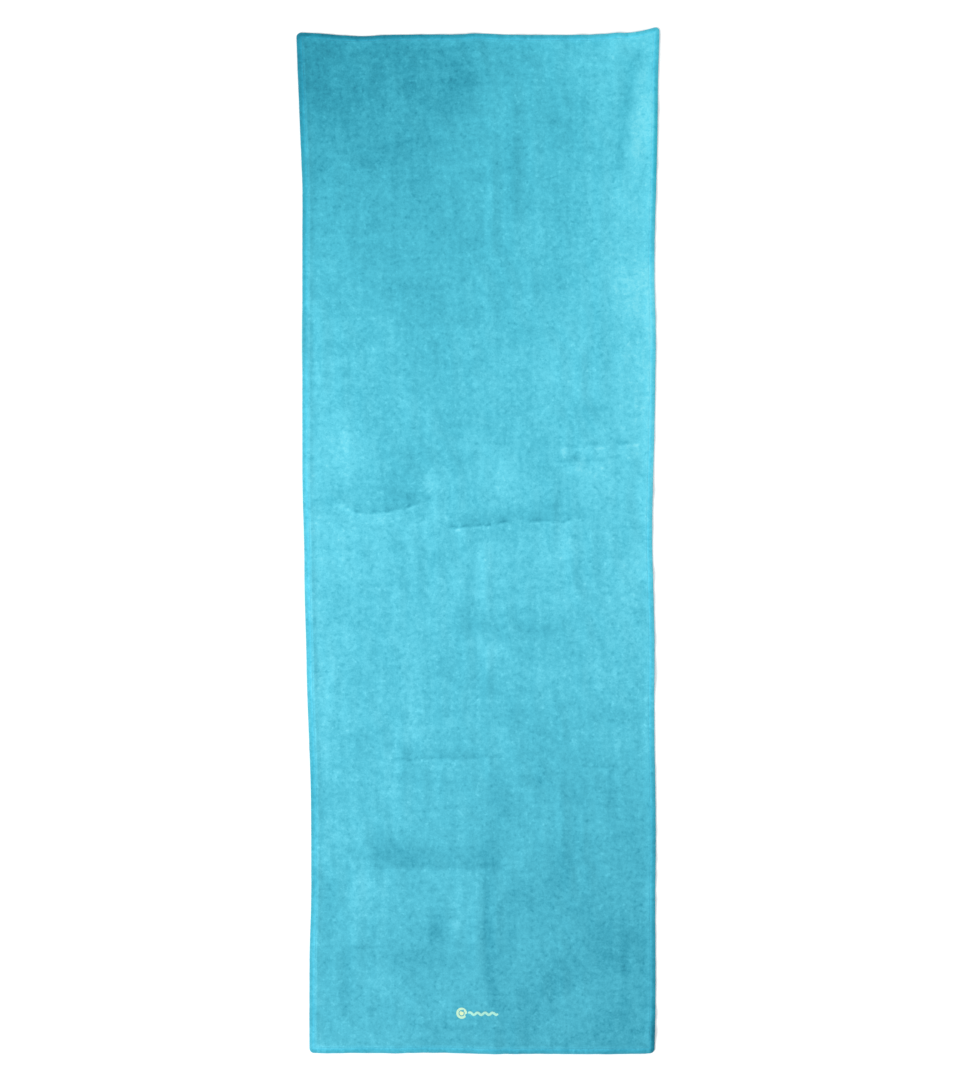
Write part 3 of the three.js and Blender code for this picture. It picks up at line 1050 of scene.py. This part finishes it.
def thread_run(name, node, run_x, run_y, middle, dip):
    """One thread along a run of the plain rectangle. middle is its height above the towel's lie, and dip
    how far it goes up and down from there at each stitch."""
    length = abs(run_x[1] - run_x[0]) + abs(run_y[1] - run_y[0])
    count = round(length / STITCH_LENGTH) * STEPS_PER_STITCH
    share = np.linspace(0, 1, count + 1)
    wander = THREAD_WANDER * ripple(share * length, seed=41, longest=60, shortest=7)
    goes_across = run_y[0] == run_y[1]
    x = run_x[0] + (run_x[1] - run_x[0]) * share + (0 if goes_across else wander)
    y = run_y[0] + (run_y[1] - run_y[0]) * share + (wander if goes_across else 0)
    phase = 2 * np.pi * np.arange(count + 1) / STEPS_PER_STITCH
    height = lie(x, y) + middle - dip * np.cos(phase)
    real_x, real_y = fitted(x, y)
    path = np.stack([real_x, real_y, height], -1)
    ahead = np.gradient(path, axis=0)
    ahead /= np.linalg.norm(ahead, axis=1, keepdims=True)
    side = np.cross([0, 0, 1], ahead)
    side /= np.linalg.norm(side, axis=1, keepdims=True)
    up = np.cross(ahead, side)
    turns = 2 * np.pi * np.arange(THREAD_SIDES) / THREAD_SIDES
    rings = path[:, None] + THREAD_RADIUS * (
        np.cos(turns)[None, :, None] * side[:, None] + np.sin(turns)[None, :, None] * up[:, None]
    )
    index = np.arange((count + 1) * THREAD_SIDES).reshape(count + 1, THREAD_SIDES)
    closed = np.concatenate([index, index[:, :1]], 1)
    walls = quads(closed[:-1, :-1], closed[:-1, 1:], closed[1:, 1:], closed[1:, :-1])
    faces = walls.tolist() + [index[0, ::-1].tolist(), index[-1].tolist()]
    mesh = bpy.data.meshes.new(name)
    mesh.from_pydata((rings.reshape(-1, 3) * MM).tolist(), [], faces)
    mesh.polygons.foreach_set("use_smooth", [True] * len(mesh.polygons))
    mesh.materials.append(THREAD)
    mesh.update()
    piece = bpy.data.objects.new(name, mesh)
    bpy.context.scene.collection.objects.link(piece)
    add_attribute(piece, "nap_tone_and_painted_light", np.repeat(nap_tone_and_painted_light(x, y) - THREAD_DARKER, THREAD_SIDES))
    return declared(piece, "hem_thread", node)


# The height of each thread above the towel's lie, and how far it goes up and down at each stitch.
FACE_THREAD = {"middle": 2.66, "dip": 0.24}
BACK_THREAD = {"middle": 0.36, "dip": 0.08}


def end_seam(name, node, side, heights):
    half = HALF_WIDTH - STITCH_INSET
    line = side * (HALF_LENGTH - STITCH_INSET)
    return thread_run(name, node, (-half, half), (line, line), **heights)


def side_seam(name, node, side, heights, end_inset):
    half = HALF_LENGTH - end_inset
    line = side * (HALF_WIDTH - STITCH_INSET)
    return thread_run(name, node, (line, line), (-half, half), **heights)


# ---- The mark ----

MARK_RISE = 68  # from the foot end
MARK_Y = -HALF_LENGTH + MARK_RISE
MARK_LEFT = -46
RING_RADII = [9.5, 9.4, 8.3, 6.6, 5.4, 5.3]
RING_X = MARK_LEFT + RING_RADII[0]
RING_STEPS = 72
DOT_RADIUS = 3.8
DOT_LINES = 13
WAVE_LEFT = MARK_LEFT + 21
WAVE_LENGTH = 53
WAVE_BAND = 4.4
WAVE_RISE = 1.8
WAVE_COUNT = 4
WAVE_POINTS = 121  # along it
WAVE_LINES = 5  # across it
WAVE_TIP = 0.02  # the least of the band's width that is left at its tips, as a share squared
FILM_GAP = 0.03
FILM_THICKNESS = 0.14

# How yellow each piece is, from 0 to 1.
RING_CREAM = 0.45
DOT_CREAM = 1
WAVE_CREAM = 0


def film_piece(name, node, x, y, cream, looped=False):
    """A piece of the mark's film, which lies on the cloth."""
    under = face_height(x, y) + FILM_GAP
    piece = slab(name, *fitted(x, y), under, under + FILM_THICKNESS, FILM, looped)
    add_attribute(piece, "cream", np.full(2 * x.size, cream))
    return declared(piece, "mark_film", node)


def film_ring():
    turns = 2 * np.pi * np.arange(RING_STEPS) / RING_STEPS
    radii = np.array(RING_RADII)[:, None]
    x, y = RING_X + radii * np.cos(turns), MARK_Y + radii * np.sin(turns)
    return film_piece("film_ring", "mark_ring", x, y, RING_CREAM, looped=True)


def film_dot():
    """A square grid, drawn in to a round dot."""
    run = np.linspace(-1, 1, DOT_LINES)
    x, y = np.meshgrid(run, run)
    far = np.maximum(np.hypot(x, y), 1e-6)
    scale = DOT_RADIUS * np.maximum(np.abs(x), np.abs(y)) / far
    return film_piece("film_dot", "mark_dot", RING_X + x * scale, MARK_Y + y * scale, DOT_CREAM)


def film_wave():
    """A wavy band with rounded ends."""
    run = np.linspace(0, WAVE_LENGTH, WAVE_POINTS)
    stretch = 2 * np.pi * WAVE_COUNT / WAVE_LENGTH
    slope = WAVE_RISE * stretch * np.cos(stretch * run)
    steep = np.hypot(1, slope)
    radius = WAVE_BAND / 2
    into_tip = np.clip(1 - np.minimum(run, WAVE_LENGTH - run) * steep / radius, 0, 1)
    half = radius * np.sqrt(np.clip(1 - into_tip**2, WAVE_TIP, 1))
    offset = np.linspace(-1, 1, WAVE_LINES)[:, None] * half
    x = WAVE_LEFT + run - offset * slope / steep
    y = MARK_Y + WAVE_RISE * np.sin(stretch * run) + offset / steep
    return film_piece("film_wave", "mark_wave", x, y, WAVE_CREAM)


# ---- The whole towel ----

cloth = towel_cloth()
extras = [
    end_hem("hem_head", "head_hem", 1),
    end_hem("hem_foot", "foot_hem", -1),
    side_hem("hem_left", "left_hem", -1),
    side_hem("hem_right", "right_hem", 1),
    end_seam("stitches_face_head", "head_needle_thread", 1, FACE_THREAD),
    end_seam("stitches_face_foot", "foot_needle_thread", -1, FACE_THREAD),
    side_seam("stitches_face_left", "left_needle_thread", -1, FACE_THREAD, FACE_SEAM_END),
    side_seam("stitches_face_right", "right_needle_thread", 1, FACE_THREAD, FACE_SEAM_END),
    end_seam("stitches_back_head", "head_bobbin_thread", 1, BACK_THREAD),
    end_seam("stitches_back_foot", "foot_bobbin_thread", -1, BACK_THREAD),
    side_seam("stitches_back_left", "left_bobbin_thread", -1, BACK_THREAD, BACK_SEAM_END),
    side_seam("stitches_back_right", "right_bobbin_thread", 1, BACK_THREAD, BACK_SEAM_END),
    film_ring(),
    film_dot(),
    film_wave(),
]

# ---- Floor, light and camera, with places in metres ----

FLOOR_REACH = 30  # from the middle to each side
WORLD_LIGHT = 0.88
KEY_PLACE = (-3.4, -1.6, 4.4)
KEY_SIZE = 2.6
KEY_POWER = 175
CAMERA_PLACE = (0.0025, 0.0014, 4.317)
CAMERA_LENS = 85
CAMERA_SENSOR = 36
CAMERA_REACH = 100


def floor():
    reach = FLOOR_REACH / MM
    corners = [(-reach, -reach, 0), (reach, -reach, 0), (reach, reach, 0), (-reach, reach, 0)]
    piece = mesh_object("floor", corners, [(0, 1, 2, 3)], floor_material())


def world_light(strength):
    world = bpy.data.worlds.new("pale_studio")
    world.use_nodes = True
    background = world.node_tree.nodes["Background"]
    background.inputs["Color"].default_value = (1, 1, 1, 1)
    background.inputs["Strength"].default_value = strength
    bpy.context.scene.world = world


def softbox(name, place, size, power):
    """A square light that faces the towel's middle and doesn't show in the picture."""
    light = bpy.data.lights.new(name, "AREA")
    light.size = size
    light.energy = power
    lamp = bpy.data.objects.new(name, light)
    lamp.location = place
    away = np.array(place, float)
    flat = math.hypot(away[0], away[1])
    lamp.rotation_euler = (math.atan2(flat, away[2]), 0, math.atan2(away[0], -away[1]))
    lamp.visible_camera = False
    bpy.context.scene.collection.objects.link(lamp)


def camera():
    """A camera that looks straight down, as the photo does."""
    data = bpy.data.cameras.new("camera")
    data.lens = CAMERA_LENS
    data.sensor_width = CAMERA_SENSOR
    data.clip_end = CAMERA_REACH
    view = bpy.data.objects.new("camera", data)
    view.location = CAMERA_PLACE
    bpy.context.scene.collection.objects.link(view)
    bpy.context.scene.camera = view


floor()
world_light(WORLD_LIGHT)
softbox("key", KEY_PLACE, KEY_SIZE, KEY_POWER)
camera()
bpy.context.scene.view_settings.view_transform = "Standard"
